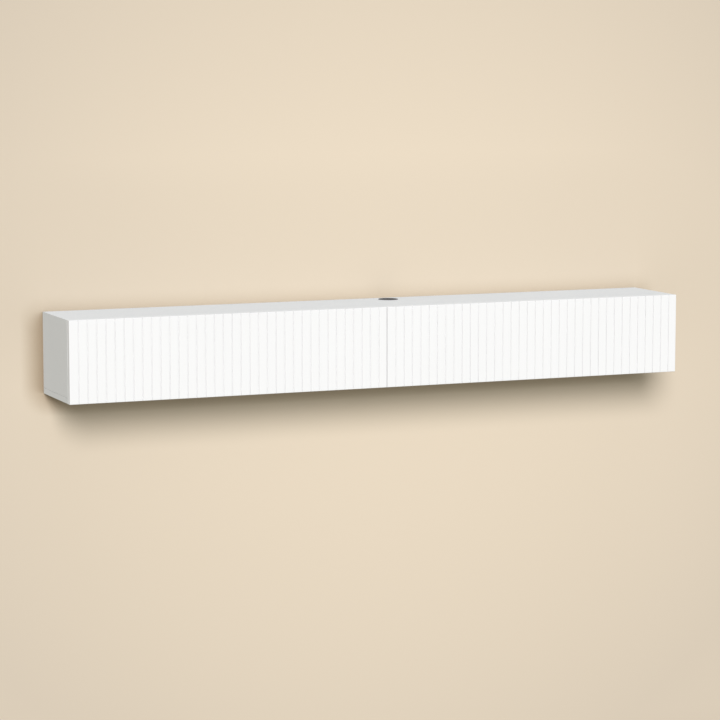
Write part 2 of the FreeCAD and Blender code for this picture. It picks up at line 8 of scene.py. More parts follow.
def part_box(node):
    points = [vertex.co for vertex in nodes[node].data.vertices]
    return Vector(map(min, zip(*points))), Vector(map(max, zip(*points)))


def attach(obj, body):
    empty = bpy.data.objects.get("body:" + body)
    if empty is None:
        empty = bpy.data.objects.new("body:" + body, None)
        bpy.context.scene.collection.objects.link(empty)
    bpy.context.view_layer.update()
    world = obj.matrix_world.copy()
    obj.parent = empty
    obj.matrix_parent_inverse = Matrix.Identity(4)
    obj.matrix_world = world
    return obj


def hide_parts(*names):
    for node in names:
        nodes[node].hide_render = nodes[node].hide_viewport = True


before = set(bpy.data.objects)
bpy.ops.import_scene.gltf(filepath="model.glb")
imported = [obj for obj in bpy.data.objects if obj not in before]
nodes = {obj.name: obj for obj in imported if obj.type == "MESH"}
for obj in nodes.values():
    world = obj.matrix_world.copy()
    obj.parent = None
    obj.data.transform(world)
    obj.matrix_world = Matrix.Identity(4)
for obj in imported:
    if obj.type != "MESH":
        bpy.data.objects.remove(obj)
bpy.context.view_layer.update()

# Frame, in metres: +X to the right seen from the front, +Y towards the wall, +Z up, and the
# origin on the wall.
LEFT, RIGHT = -1, 1
SIDES = (("left", LEFT), ("right", RIGHT))


def middle_of(node):
    """Centre of a node's box, which lies on the axis of a round fitting."""
    low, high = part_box(node)
    return [(a + b) / 2 for a, b in zip(low, high)]


def centre_of(box):
    return Vector(box[0]).lerp(Vector(box[1]), 0.5)


def solids_of(node):
    """Boxes of the separate solids of a node, from left to right."""
    bm = bmesh.new()
    bm.from_mesh(nodes[node].data)
    bmesh.ops.remove_doubles(bm, verts=bm.verts, dist=0.000001)
    boxes = []
    unseen = set(bm.verts)
    while unseen:
        solid = [unseen.pop()]
        for vert in solid:
            near = {edge.other_vert(vert) for edge in vert.link_edges} & unseen
            unseen -= near
            solid.extend(near)
        places = [vert.co for vert in solid]
        boxes.append(tuple(tuple(pick(axis) for axis in zip(*places)) for pick in (min, max)))
    bm.free()
    return sorted(boxes)


# Places read from the frame
divider_low, divider_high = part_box("centre_divider")
divider_face_x = divider_high[0]
floor_z, ceiling_z = divider_low[2], divider_high[2]
top_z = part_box("top_panel")[1][2]
board = top_z - ceiling_z
end_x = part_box("right_side")[1][0]
side_face_x = end_x - board
door_back_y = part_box("right_door")[1][1]
hinge_x = [centre_of(box).x for box in solids_of("right_hinge_bases")]
hinge_axis = middle_of("right_hinge_pins")[1:]
knuckle_radius = hinge_axis[1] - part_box("right_hinge_leaves")[0][2]
hinge_flange_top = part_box("right_hinge_bases")[1][2]
latch_x = [centre_of(box).x for box in solids_of("right_strike_plates")]
rim_low, rim_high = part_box("grommet_liner")
grommet_centre = middle_of("grommet_liner")[:2]
rim_height = rim_high[2] - top_z
sleeve_low = rim_low[2] - top_z

# Corners of the stay's parallelogram, as (y, z)
damper_pivot = middle_of("right_stay_rotors")[1:]
bracket_pivot = middle_of("right_stay_bracket_pins")[1:]
joint_pivot = [a + b - c for a, b, c in zip(damper_pivot, bracket_pivot, hinge_axis)]


def layer(node):
    """Distance from the divider's face to the near side of a stay's piece."""
    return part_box(f"right_{node}")[0][0] - divider_face_x


drive_layer = layer("stay_drive_arms")
link_layer = layer("stay_link_arms")
ear_layer = layer("stay_brackets")

# Sizes of the fittings
arm_radius, arm_steel = 0.008, 0.003
bracket_width, bracket_half_height, bracket_steel = 0.030, 0.020, 0.0024
damper_flange, damper_screw_reach = 0.003, 0.026
knuckle_half_width, ear_width = 0.012, 0.004
leaf_face_y = door_back_y + 0.002
screw_radius, screw_height = 0.0034, 0.0014
lid_thickness = 0.0018
soft_edge = 0.0004
sharp_angle = math.radians(35)


# ---------------------------------------------------------------- materials


class Shader:
    """Nodes of one material, added and linked by short calls."""

    def __init__(self, name):
        self.material = bpy.data.materials.new(name)
        self.material.use_nodes = True
        self.tree = self.material.node_tree
        self.tree.nodes.clear()

    def add(self, kind, outlet=0, settings=None, **inputs):
        """New node. Inputs are values or sockets, by name with _ for a space, or as _0, _1."""
        made = self.tree.nodes.new(kind)
        for key, value in (settings or {}).items():
            setattr(made, key, value)
        for key, value in inputs.items():
            number = key[1:]
            inlet = made.inputs[int(number) if number.isdigit() else key.replace("_", " ")]
            if isinstance(value, bpy.types.NodeSocket):
                self.tree.links.new(value, inlet)
            else:
                inlet.default_value = value
        return made.outputs[outlet]

    def place(self, stretch=(1, 1, 1)):
        """Position on the piece in metres."""
        spot = self.add("ShaderNodeTexCoord", outlet="Object")
        return self.add("ShaderNodeMapping", Vector=spot, Scale=stretch)

    def noise(self, scale, detail=2.0, stretch=(1, 1, 1)):
        place = self.place(stretch)
        return self.add("ShaderNodeTexNoise", Vector=place, Scale=scale, Detail=detail)

    def spread(self, factor, low, high, source=(0.3, 0.7)):
        """Factor mapped from its source range to a new one."""
        return self.add(
            "ShaderNodeMapRange",
            Value=factor,
            From_Min=source[0],
            From_Max=source[1],
            To_Min=low,
            To_Max=high,
        )

    def tint(self, factor, dark, light):
        return self.add(
            "ShaderNodeMix",
            outlet=2,
            settings={"data_type": "RGBA"},
            _0=factor,
            _6=self.opaque(dark),
            _7=self.opaque(light),
        )

    def multiply(self, first, second):
        return self.add(
            "ShaderNodeMix",
            outlet=2,
            settings={"data_type": "RGBA", "blend_type": "MULTIPLY"},
            _0=1.0,
            _6=first,
            _7=second,
        )

    def opaque(self, colour):
        return colour if isinstance(colour, bpy.types.NodeSocket) else (*colour, 1)

    def maths(self, operation, first, second):
        return self.add("ShaderNodeMath", settings={"operation": operation}, _0=first, _1=second)

    def bump(self, height, strength, distance):
        return self.add("ShaderNodeBump", Height=height, Strength=strength, Distance=distance)

    def openness(self, reach, **normal):
        """How open a point is within a reach: 1 in the open, 0 when closed in."""
        return self.add("ShaderNodeAmbientOcclusion", outlet="AO", Distance=reach, **normal)

    def finish(self, **inputs):
        return self.show(self.add("ShaderNodeBsdfPrincipled", **inputs))

    def show(self, surface):
        output = self.tree.nodes.new("ShaderNodeOutputMaterial")
        self.tree.links.new(surface, output.inputs["Surface"])
        return self.material


# How far the painted shade in the doors' flutes looks for their walls
painted_flute_shade_reach = 0.004


def lacquer(name, light, dark, gloss, sheen, painted_flute_shade=1.0):
    """Satin lacquer on fibreboard: a faint spray texture and slow drifts of tone and gloss.

    Narrow hollows such as flutes get painted shade: their colour is darker by the painted flute
    shade where their walls close them in.
    """
    s = Shader(name)
    peel = s.noise(700.0, detail=1.0)
    drift = s.noise(2.2, detail=3.0)
    colour = s.tint(s.spread(drift, 0, 1), dark, light)
    if painted_flute_shade < 1.0:
        # Painted shade: darker colour where the flutes' walls close a point in
        shade = s.spread(s.openness(painted_flute_shade_reach), painted_flute_shade, 1.0, source=(0.55, 0.95))
        colour = s.tint(shade, (0, 0, 0), colour)
    return s.finish(
        Base_Color=colour,
        Roughness=s.spread(s.noise(45.0, detail=3.0), gloss, gloss + 0.07),
        Specular_IOR_Level=sheen,
        Normal=s.bump(peel, strength=0.06, distance=0.0003),
    )


def fibreboard(name):
    """Painted hardboard: short pale fibres under thin paint."""
    s = Shader(name)
    fibres = s.noise(260.0, detail=4.0, stretch=(1.0, 1.0, 0.35))
    return s.finish(
        Base_Color=s.tint(s.spread(fibres, 0, 1), (0.730, 0.730, 0.713), (0.762, 0.762, 0.745)),
        Roughness=s.spread(fibres, 0.55, 0.68),
        Normal=s.bump(fibres, strength=0.10, distance=0.0003),
    )


def beech(name):
    """Bare wood with fine grain along the dowels."""
    s = Shader(name)
    grain = s.noise(420.0, detail=5.0, stretch=(1.0, 1.0, 0.06))
    return s.finish(
        Base_Color=s.tint(s.spread(grain, 0, 1), (0.52, 0.36, 0.20), (0.68, 0.51, 0.32)),
        Roughness=s.spread(grain, 0.5, 0.66),
        Normal=s.bump(grain, strength=0.25, distance=0.0003),
    )


def cast_zinc(name):
    """Tumbled die casting: soft grain in a dull metal."""
    s = Shader(name)
    grain = s.noise(900.0, detail=3.0)
    cloud = s.noise(60.0)
    return s.finish(
        Base_Color=s.tint(s.spread(cloud, 0, 1), (0.50, 0.51, 0.53), (0.62, 0.63, 0.65)),
        Metallic=1.0,
        Roughness=s.spread(grain, 0.34, 0.48),
        Normal=s.bump(grain, strength=0.15, distance=0.0002),
    )


def zinc_plate(name):
    """Bright plating over rolled steel: fine draw lines and a faint bluish cast."""
    s = Shader(name)
    lines = s.noise(900.0, detail=3.0, stretch=(1.0, 0.10, 1.0))
    cloud = s.noise(35.0)
    return s.finish(
        Base_Color=s.tint(s.spread(cloud, 0, 1), (0.62, 0.64, 0.67), (0.71, 0.72, 0.73)),
        Metallic=1.0,
        Roughness=s.spread(lines, 0.25, 0.35),
        Normal=s.bump(lines, strength=0.04, distance=0.0001),
    )


def galvanised(name):
    """Hot-dip zinc with its crystal spangle."""
    s = Shader(name)
    spangle = s.add("ShaderNodeTexVoronoi", outlet="Color", Vector=s.place(), Scale=130.0)
    shade = s.add("ShaderNodeSeparateColor", Color=spangle)
    return s.finish(
        Base_Color=s.tint(shade, (0.46, 0.48, 0.50), (0.64, 0.66, 0.68)),
        Metallic=1.0,
        Roughness=s.spread(shade, 0.34, 0.52, source=(0, 1)),
    )


def moulded(name, dark, light, gloss, grain_depth, sheen=0.5):
    """Moulded plastic with a fine spark-eroded grain."""
    s = Shader(name)
    grain = s.noise(1500.0)
    cloud = s.noise(40.0)
    return s.finish(
        Base_Color=s.tint(s.spread(cloud, 0, 1), dark, light),
        Roughness=s.spread(grain, gloss, gloss + 0.12),
        Specular_IOR_Level=sheen,
        Normal=s.bump(grain, strength=grain_depth, distance=0.0002),
    )


def soft_dot(name):
    """Clear polyurethane dot."""
    s = Shader(name)
    cloud = s.noise(200.0)
    return s.finish(
        Base_Color=s.tint(s.spread(cloud, 0, 1), (0.66, 0.66, 0.62), (0.76, 0.76, 0.73)),
        Roughness=s.spread(cloud, 0.25, 0.31),
        Subsurface_Weight=0.4,
        Subsurface_Radius=(0.002, 0.002, 0.002),
    )


door_whites = (0.930, 0.930, 0.926), (0.918, 0.918, 0.914)
carcass_whites = (0.928, 0.928, 0.922), (0.914, 0.914, 0.908)
grommet_greys = (0.045, 0.051, 0.059), (0.058, 0.065, 0.074)
fitting_greys = (0.25, 0.26, 0.27), (0.29, 0.30, 0.31)
latch_whites = (0.74, 0.74, 0.72), (0.80, 0.80, 0.78)

# The doors' lacquer carries painted shade in its flutes
door_lacquer_and_painted_shade = lacquer("door_lacquer_and_painted_shade", *door_whites, gloss=0.44, sheen=0.25, painted_flute_shade=0.85)
carcass_lacquer = lacquer("carcass_lacquer", *carcass_whites, gloss=0.56, sheen=0.15)
back_board = fibreboard("back_board")
bare_beech = beech("bare_beech")
zinc_alloy = cast_zinc("zinc_alloy")
plated_steel = zinc_plate("zinc_plated_steel")
rail_steel = galvanised("galvanised_steel")
grommet_plastic = moulded(
    "grommet_plastic", *grommet_greys, gloss=0.50, grain_depth=0.20, sheen=0.25
)
grey_plastic = moulded("grey_plastic", *fitting_greys, gloss=0.38, grain_depth=0.15)
latch_plastic = moulded("latch_plastic", *latch_whites, gloss=0.34, grain_depth=0.12)
clear_rubber = soft_dot("clear_rubber")

finishes = {
    door_lacquer_and_painted_shade: ["left_door", "right_door"],
    carcass_lacquer: ["top_panel", "bottom_panel", "left_side", "right_side", "centre_divider"],
    back_board: ["left_back_panel", "right_back_panel"],
    bare_beech: ["mitre_splines", "panel_dowels"],
    zinc_alloy: ["cam_discs"],
    plated_steel: ["cam_bolts", "hanger_hooks", "hanger_adjusters"],
    rail_steel: ["wall_rail"],
    grey_plastic: ["hanger_housings"],
    grommet_plastic: ["grommet_liner", "grommet_cap"],
}
fitting_finishes = {
    zinc_alloy: ["hinge_bases", "hinge_leaves"],
    plated_steel: [
        "hinge_pins",
        "stay_rotors",
        "stay_drive_arms",
        "stay_rivets",
        "stay_link_arms",
        "stay_bracket_pins",
        "stay_brackets",
        "strike_plates",
    ],
    grey_plastic: ["stay_dampers", "latch_plungers"],
    latch_plastic: ["latch_housings"],
    clear_rubber: ["door_buffers"],
}


def dress(name, material):
    mesh = nodes[name].data
    mesh.materials.clear()
    mesh.materials.append(material)


for material, names in finishes.items():
    for name in names:
        dress(name, material)
for material, names in fitting_finishes.items():
    for name in names:
        for side, _ in SIDES:
            dress(f"{side}_{name}", material)


def soften(name, width):
    """Rounds the sharp edges of a CAD node a little."""
    weld = nodes[name].modifiers.new("weld", "WELD")
    weld.merge_threshold = 0.00001
    bevel = nodes[name].modifiers.new("soft_edges", "BEVEL")
    bevel.width = width
    bevel.segments = 2
    bevel.limit_method = "ANGLE"
    bevel.angle_limit = sharp_angle
    bevel.harden_normals = True


for name in ("left_door", "right_door", "top_panel", "bottom_panel", "left_side", "right_side"):
    soften(name, soft_edge)


# ---------------------------------------------------------------- new pieces


def add_piece(name, mesh, material, body):
    mesh.materials.append(material)
    for face in mesh.polygons:
        face.use_smooth = True
    mesh.set_sharp_from_angle(angle=sharp_angle)
    piece = bpy.data.objects.new(name, mesh)
    bpy.context.scene.collection.objects.link(piece)
    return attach(piece, body)


def to_mesh(name, bm):
    bmesh.ops.recalc_face_normals(bm, faces=bm.faces)
    mesh = bpy.data.meshes.new(name)
    bm.to_mesh(mesh)
    bm.free()
    return mesh


def ring_of(bm, radius, height, count):
    turns = [2 * math.pi * index / count for index in range(count)]
    return [bm.verts.new((radius * math.cos(t), radius * math.sin(t), height)) for t in turns]


def bridge(bm, first, second):
    count = len(first)
    for index in range(count):
        after = (index + 1) % count
        bm.faces.new((first[index], first[after], second[after], second[index]))


def cross_outline(bm, reach, half_width, height):
    """Twelve corners of a plus sign."""
    corners = []
    for turn in range(4):
        spin = Matrix.Rotation(turn * math.pi / 2, 3, "Z")
        for x, y in ((half_width, half_width), (half_width, reach), (-half_width, reach)):
            corners.append(bm.verts.new(spin @ Vector((x, y, height))))
    return corners


def fill_between(bm, outer, inner):
    edges = []
    for loop in (outer, inner):
        for index, vert in enumerate(loop):
            after = loop[(index + 1) % len(loop)]
            edges.append(bm.edges.get((vert, after)) or bm.edges.new((vert, after)))
    bmesh.ops.triangle_fill(bm, edges=edges, use_beauty=True, use_dissolve=False)


def join(bm, part, place):
    """Adds a finished part to a larger mesh, moved to its place."""
    bmesh.ops.transform(part, matrix=place, verts=part.verts)
    mesh = bpy.data.meshes.new("part")
    part.to_mesh(mesh)
    part.free()
    bm.from_mesh(mesh)
    bpy.data.meshes.remove(mesh)


def add_cross_head(bm, place, levels, reach, depth, count=24):
    """Round head through (radius, height) levels, with a cross recess in its top.

    Place turns +Z to its axis.
    """
    head = bmesh.new()
    rings = [ring_of(head, radius, height, count) for radius, height in levels]
    for low, high in zip(rings, rings[1:]):
        bridge(head, low, high)
    head.faces.new(rings[0])
    top = levels[-1][1]
    rim = cross_outline(head, reach, 0.25 * reach, top)
    sunk = cross_outline(head, 0.85 * reach, 0.21 * reach, top - depth)
    fill_between(head, rings[-1], rim)
    bridge(head, rim, sunk)
    head.faces.new(sunk)
    join(bm, head, place)


def add_screw_head(bm, place, radius, height):
    """Pan head standing on a surface."""
    rim = [(radius, 0.0), (radius, 0.35 * height)]
    levels = rim + [(0.93 * radius, 0.75 * height), (0.72 * radius, height)]
    add_cross_head(bm, place, levels, 0.52 * radius, 0.8 * height)


def facing(point, normal, spin=0.0):
    """Matrix that stands a piece at a point with its +Z along a normal."""
    turn = Vector(normal).to_track_quat("Z", "Y").to_matrix().to_4x4()
    return Matrix.Translation(point) @ turn @ Matrix.Rotation(spin, 4, "Z")


def add_screws(name, body, places, radius=screw_radius):
    """Screw heads at (point, normal) places, each turned a different way."""
    bm = bmesh.new()
    for index, (point, normal) in enumerate(places):
        place = facing(point, normal, spin=0.9 * index + 0.3)
        add_screw_head(bm, place, radius, screw_height)
    add_piece(name, to_mesh(name, bm), plated_steel, body)


def compartment_ends(side):
    """X of the two end faces of a compartment, each with the way into it."""
    return [(side * side_face_x, -side), (side * divider_face_x, side)]


def hinge_base_screws(side):
    aside, y = 0.020, -0.252
    for x in hinge_x:
        for way in (LEFT, RIGHT):
            yield (side * x + way * aside, y, hinge_flange_top), (0, 0, 1)


def hinge_leaf_screws(side):
    for x in hinge_x:
        for z in (-0.172, -0.157):
            yield (side * x, leaf_face_y, z), (0, 1, 0)


def latch_screws(side):
    aside, y, flange = 0.013, -0.2435, 0.0025
    for x in latch_x:
        for way in (LEFT, RIGHT):
            yield (side * x + way * aside, y, ceiling_z - flange), (0, 0, -1)


def damper_screws(side):
    y, z = damper_pivot
    for face, into in compartment_ends(side):
        for way in (LEFT, RIGHT):
            yield (face + into * damper_flange, y + way * damper_screw_reach, z), (into, 0, 0)


def bracket_screws(side):
    past_ear, apart = 0.018, 0.012
    for face, into in compartment_ends(side):
        x = face + into * (ear_layer + past_ear)
        for way in (LEFT, RIGHT):
            yield (x, door_back_y + bracket_steel, bracket_pivot[1] + way * apart), (0, 1, 0)


def hanger_screws():
    housing_width = 0.018
    for _, side in SIDES:
        for face, into in compartment_ends(side):
            for y, z in ((-0.050, 0.038), (-0.045, 0.012)):
                yield (face + into * housing_width, y, z), (into, 0, 0)


def screw_fittings(name, side):
    door = f"{name}_door"
    add_screws(f"{name}_hinge_base_screws", "cabinet", hinge_base_screws(side))
    add_screws(f"{name}_latch_screws", "cabinet", latch_screws(side), radius=0.0030)
    add_screws(f"{name}_damper_screws", "cabinet", damper_screws(side))
    add_screws(f"{name}_hinge_leaf_screws", door, hinge_leaf_screws(side))
    add_screws(f"{name}_bracket_screws", door, bracket_screws(side))


for name, side in SIDES:
    screw_fittings(name, side)
add_screws("hanger_screws", "cabinet", hanger_screws())


# ---------------------------------------------------------------- fittings

# With true rounds, pressed channels and softened edges, in place of the plainer CAD ones


def arc(centre, radius, start, sweep, steps=14):
    turns = [start + sweep * index / steps for index in range(steps + 1)]
    return [(centre[0] + radius * math.cos(t), centre[1] + radius * math.sin(t)) for t in turns]


def strap_outline(start, end, radius):
    """Round-ended strip between two centres."""
    way = math.atan2(end[1] - start[1], end[0] - start[0])
    far_end = arc(end, radius, way - math.pi / 2, math.pi)
    return far_end + arc(start, radius, way + math.pi / 2, math.pi)


def tab_outline(centre, radius, root):
    """Round end at a centre and a square end at its root, a vector away."""
    points = arc(centre, radius, math.atan2(-root[1], -root[0]) - math.pi / 2, math.pi)
    return points + [(x + root[0], y + root[1]) for x, y in (points[-1], points[0])]


def rounded_outline(low, high, radius):
    """Rectangle with rounded corners."""
    points = []
    corners = ((high[0], high[1]), (low[0], high[1]), (low[0], low[1]), (high[0], low[1]))
    for turn, (x, y) in enumerate(corners):
        centre_x = x + radius if x == low[0] else x - radius
        centre_y = y + radius if y == low[1] else y - radius
        points += arc((centre_x, centre_y), radius, turn * math.pi / 2, math.pi / 2, steps=5)
    return points


def across_x(x, into):
    """Matrix that lays (y, z) outlines across X, with their thickness growing the given way."""
    return Matrix(((0, 0, into, x), (1, 0, 0, 0), (0, 1, 0, 0), (0, 0, 0, 1)))


def along_y(y):
    """Matrix that stands (x, z) outlines up, with their thickness growing towards the wall."""
    return Matrix(((1, 0, 0, 0), (0, 0, 1, y), (0, 1, 0, 0), (0, 0, 0, 1)))


def along_z(z):
    """Matrix that lays (x, y) outlines flat, with their thickness growing upwards."""
    return Matrix.Translation((0, 0, z))


def slab(outline, thickness):
    """New mesh of an outline raised to a thickness."""
    bm = bmesh.new()
    bm.faces.new([bm.verts.new((x, y, 0.0)) for x, y in outline])
    grown = bmesh.ops.extrude_face_region(bm, geom=bm.faces[:])
    raised = [item for item in grown["geom"] if isinstance(item, bmesh.types.BMVert)]
    bmesh.ops.translate(bm, vec=(0, 0, thickness), verts=raised)
    return bm


def round_over(bm, edges, width):
    bmesh.ops.bevel(bm, geom=edges, offset=width, segments=2, affect="EDGES", profile=0.6)


def plate(bm, outline, thickness, place, edge=soft_edge):
    """Flat plate with softened edges."""
    part = slab(outline, thickness)
    rims = [e for e in part.edges if abs(e.verts[0].co.z - e.verts[1].co.z) < thickness / 2]
    round_over(part, rims, edge)
    join(bm, part, place)


def pressed_strap(bm, start, end, radius, thickness, place):
    """Steel strap with a shallow channel pressed in it between its round ends."""
    part = bmesh.new()
    way = (Vector(end) - Vector(start)).normalized() * 2.0 * radius
    channel = (Vector(start) + way, Vector(end) - way)

    def ring(first, second, reach, height):
        return [part.verts.new((x, y, height)) for x, y in strap_outline(first, second, reach)]

    levels = [
        (radius - soft_edge, 0.0),
        (radius, soft_edge),
        (radius, thickness - soft_edge),
        (radius - soft_edge, thickness),
    ]
    rings = [ring(start, end, reach, height) for reach, height in levels]
    for low, high in zip(rings, rings[1:]):
        bridge(part, low, high)
    part.faces.new(rings[0])
    lip = ring(*channel, 0.46 * radius, thickness)
    bed = ring(*channel, 0.36 * radius, 0.75 * thickness)
    fill_between(part, rings[-1], lip)
    bridge(part, lip, bed)
    part.faces.new(bed)
    join(bm, part, place)


def turned_part(bm, profile, place, count=32):
    """Round part through (radius, height) points, closed at both ends."""
    part = bmesh.new()
    rings = [ring_of(part, radius, height, count) for radius, height in profile]
    for low, high in zip(rings, rings[1:]):
        bridge(part, low, high)
    for ring in (rings[0], rings[-1]):
        part.faces.new(ring)
    join(bm, part, place)


def replace_fitting(node, material, slot, body, build):
    """One piece for all the solids of a node. Build fills its mesh."""
    bm = bmesh.new()
    build(bm)
    piece = add_piece(f"{node}_fine", to_mesh(node, bm), material, body)
    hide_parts(node)


def stay_at(side, draw):
    """Builder that draws a stay's piece at both ends of a compartment."""

    def build(bm):
        for face, into in compartment_ends(side):
            draw(bm, face, into)

    return build


def draw_damper(bm, face, into):
    flange = [(damper_pivot[0] + way * damper_screw_reach, damper_pivot[1]) for way in (-1, 1)]
    plate(bm, strap_outline(*flange, 0.009), damper_flange, across_x(face, into))
    drum = [
        (0.0180, 0.0025),
        (0.0170, 0.0035),
        (0.0170, 0.0108),
        (0.0165, 0.0116),
        (0.0156, 0.0120),
        (0.0134, 0.0120),
        (0.0130, 0.0115),
        (0.0108, 0.0115),
        (0.0104, 0.0120),
        (0.0060, 0.0120),
    ]
    turned_part(bm, drum, facing((face, *damper_pivot), (into, 0, 0)), count=48)


def draw_rotor(bm, face, into):
    half, low = 0.0045, drive_layer - 0.0008
    square = [[pivot + way * half for pivot in damper_pivot] for way in (-1, 1)]
    length = drive_layer + arm_steel + 0.0003 - low
    place = across_x(face + into * low, into)
    plate(bm, rounded_outline(*square, 0.0008), length, place, edge=0.0003)


def draw_arm(pivot, arm_layer):
    """Drawer of the arm that runs in a layer from a pivot to the joint of both arms."""

    def draw(bm, face, into):
        place = across_x(face + into * arm_layer, into)
        pressed_strap(bm, pivot, joint_pivot, arm_radius, arm_steel, place)

    return draw


def rivet_profile(shank_end):
    """Shank with a domed head at its end."""
    shank, head = 0.0030, 0.0055
    return [
        (shank, 0.0),
        (shank, shank_end),
        (head, shank_end),
        (head, shank_end + 0.0006),
        (0.0047, shank_end + 0.0013),
        (shank, shank_end + 0.0016),
    ]


def draw_rivet(bm, face, into):
    place = facing((face + into * (drive_layer + 0.0004), *joint_pivot), (into, 0, 0))
    turned_part(bm, rivet_profile(link_layer + arm_steel - drive_layer - 0.0001), place)


def draw_bracket_pin(bm, face, into):
    start = ear_layer + arm_steel - 0.0004
    place = facing((face + into * start, *bracket_pivot), (-into, 0, 0))
    turned_part(bm, rivet_profile(start - link_layer + 0.0003), place)


def draw_bracket(bm, face, into):
    """Ear with the pivot, and the foot that is screwed to the door."""
    near, far = face + into * ear_layer, face + into * (ear_layer + bracket_width)
    root = (door_back_y - bracket_pivot[0], 0.0)
    plate(bm, tab_outline(bracket_pivot, arm_radius, root), arm_steel, across_x(near, into))
    low = (min(near, far), bracket_pivot[1] - bracket_half_height)
    high = (max(near, far), bracket_pivot[1] + bracket_half_height)
    plate(bm, rounded_outline(low, high, 0.0035), bracket_steel, along_y(door_back_y))


def hinge_base_builder(side):
    """Flanges on the floor, each with an ear on both sides of the knuckle."""
    half_length, depth, play = 0.028, 0.034, 0.0003
    thickness = hinge_flange_top - floor_z
    root = (0.0, floor_z + 0.001 - hinge_axis[1])
    ear = tab_outline(hinge_axis, knuckle_radius, root)

    def build(bm):
        for x in hinge_x:
            low_y = hinge_axis[0] - knuckle_radius
            low, high = (side * x - half_length, low_y), (side * x + half_length, low_y + depth)
            plate(bm, rounded_outline(low, high, 0.003), thickness, along_z(floor_z), edge=0.0005)
            for way in (LEFT, RIGHT):
                start = side * x + way * (knuckle_half_width + play)
                plate(bm, ear, ear_width, across_x(start, way))

    return build


def hinge_leaf_builder(side):
    """Flat leaves on the door, each with its knuckle."""
    top_leaf_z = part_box("right_hinge_leaves")[1][2]
    outline = [(door_back_y, top_leaf_z), (leaf_face_y, top_leaf_z)]
    outline.append((leaf_face_y, hinge_axis[1] + knuckle_radius))
    outline += arc(hinge_axis, knuckle_radius, math.pi / 2, -math.pi)
    outline.append((door_back_y, hinge_axis[1] - knuckle_radius))

    def build(bm):
        for x in hinge_x:
            place = across_x(side * x - knuckle_half_width, 1)
            plate(bm, outline, 2 * knuckle_half_width, place, edge=0.0005)

    return build


def hinge_pin_builder(side):
    half_length = 0.0166
    profile = [(0.0012, 0.0), (0.0018, 0.0002), (0.0020, 0.0005)]
    profile += [(radius, 2 * half_length - height) for radius, height in reversed(profile)]

    def build(bm):
        for x in hinge_x:
            place = facing((side * x - half_length, *hinge_axis), (1, 0, 0))
            turned_part(bm, profile, place, count=24)

    return build


def foot_of(box, normal):
    """Middle of the face where a box begins along a normal."""
    sides = zip(centre_of(box), normal, *box)
    return Vector([middle if not n else (a if n > 0 else b) for middle, n, a, b in sides])


def turned_at(node, profile, normal):
    """Builder that stands a turned part along a normal in place of every solid of a node."""

    def build(bm):
        for box in solids_of(node):
            turned_part(bm, profile, facing(foot_of(box, normal), normal))

    return build


strike_profile = [
    (0.0080, 0.0),
    (0.0080, 0.0006),
    (0.0076, 0.0010),
    (0.0036, 0.0010),
    (0.0034, 0.0007),
    (0.0020, 0.0007),
]
buffer_profile = [
    (0.0030, 0.0),
    (0.0030, 0.0009),
    (0.0026, 0.0016),
    (0.0018, 0.0020),
    (0.0008, 0.0022),
]


def plunger_profile(length):
    return [
        (0.0040, 0.0),
        (0.0040, length - 0.0006),
        (0.0036, length - 0.0001),
        (0.0033, length),
        (0.0026, length),
        (0.0024, length - 0.0003),
        (0.0010, length - 0.0003),
    ]


def replace_fittings(name, side):
    zinc, steel = (zinc_alloy, "zinc_alloy"), (plated_steel, "zinc_plated_steel")
    grey, clear = (grey_plastic, "grey_plastic"), (clear_rubber, "clear_rubber")
    door, drive, link = f"{name}_door", f"{name}_drive_arms", f"{name}_link_arms"
    out_of_door, out_of_cabinet = (0, 1, 0), (0, -1, 0)
    plunger_low, plunger_high = solids_of(f"{name}_latch_plungers")[0]
    turned = {
        "latch_plungers": (plunger_profile(plunger_high[1] - plunger_low[1]), out_of_cabinet),
        "strike_plates": (strike_profile, out_of_door),
        "door_buffers": (buffer_profile, out_of_door),
    }
    turned = {part: turned_at(f"{name}_{part}", *shape) for part, shape in turned.items()}
    fittings = [
        ("stay_dampers", grey, "cabinet", stay_at(side, draw_damper)),
        ("stay_rotors", steel, drive, stay_at(side, draw_rotor)),
        ("stay_drive_arms", steel, drive, stay_at(side, draw_arm(damper_pivot, drive_layer))),
        ("stay_rivets", steel, drive, stay_at(side, draw_rivet)),
        ("stay_link_arms", steel, link, stay_at(side, draw_arm(bracket_pivot, link_layer))),
        ("stay_bracket_pins", steel, door, stay_at(side, draw_bracket_pin)),
        ("stay_brackets", steel, door, stay_at(side, draw_bracket)),
        ("hinge_bases", zinc, "cabinet", hinge_base_builder(side)),
        ("hinge_leaves", zinc, door, hinge_leaf_builder(side)),
        ("hinge_pins", steel, "cabinet", hinge_pin_builder(side)),
        ("latch_plungers", grey, f"{name}_plungers", turned["latch_plungers"]),
        ("strike_plates", steel, door, turned["strike_plates"]),
        ("door_buffers", clear, door, turned["door_buffers"]),
    ]
    for part, finish, body, build in fittings:
        replace_fitting(f"{name}_{part}", *finish, body, build)


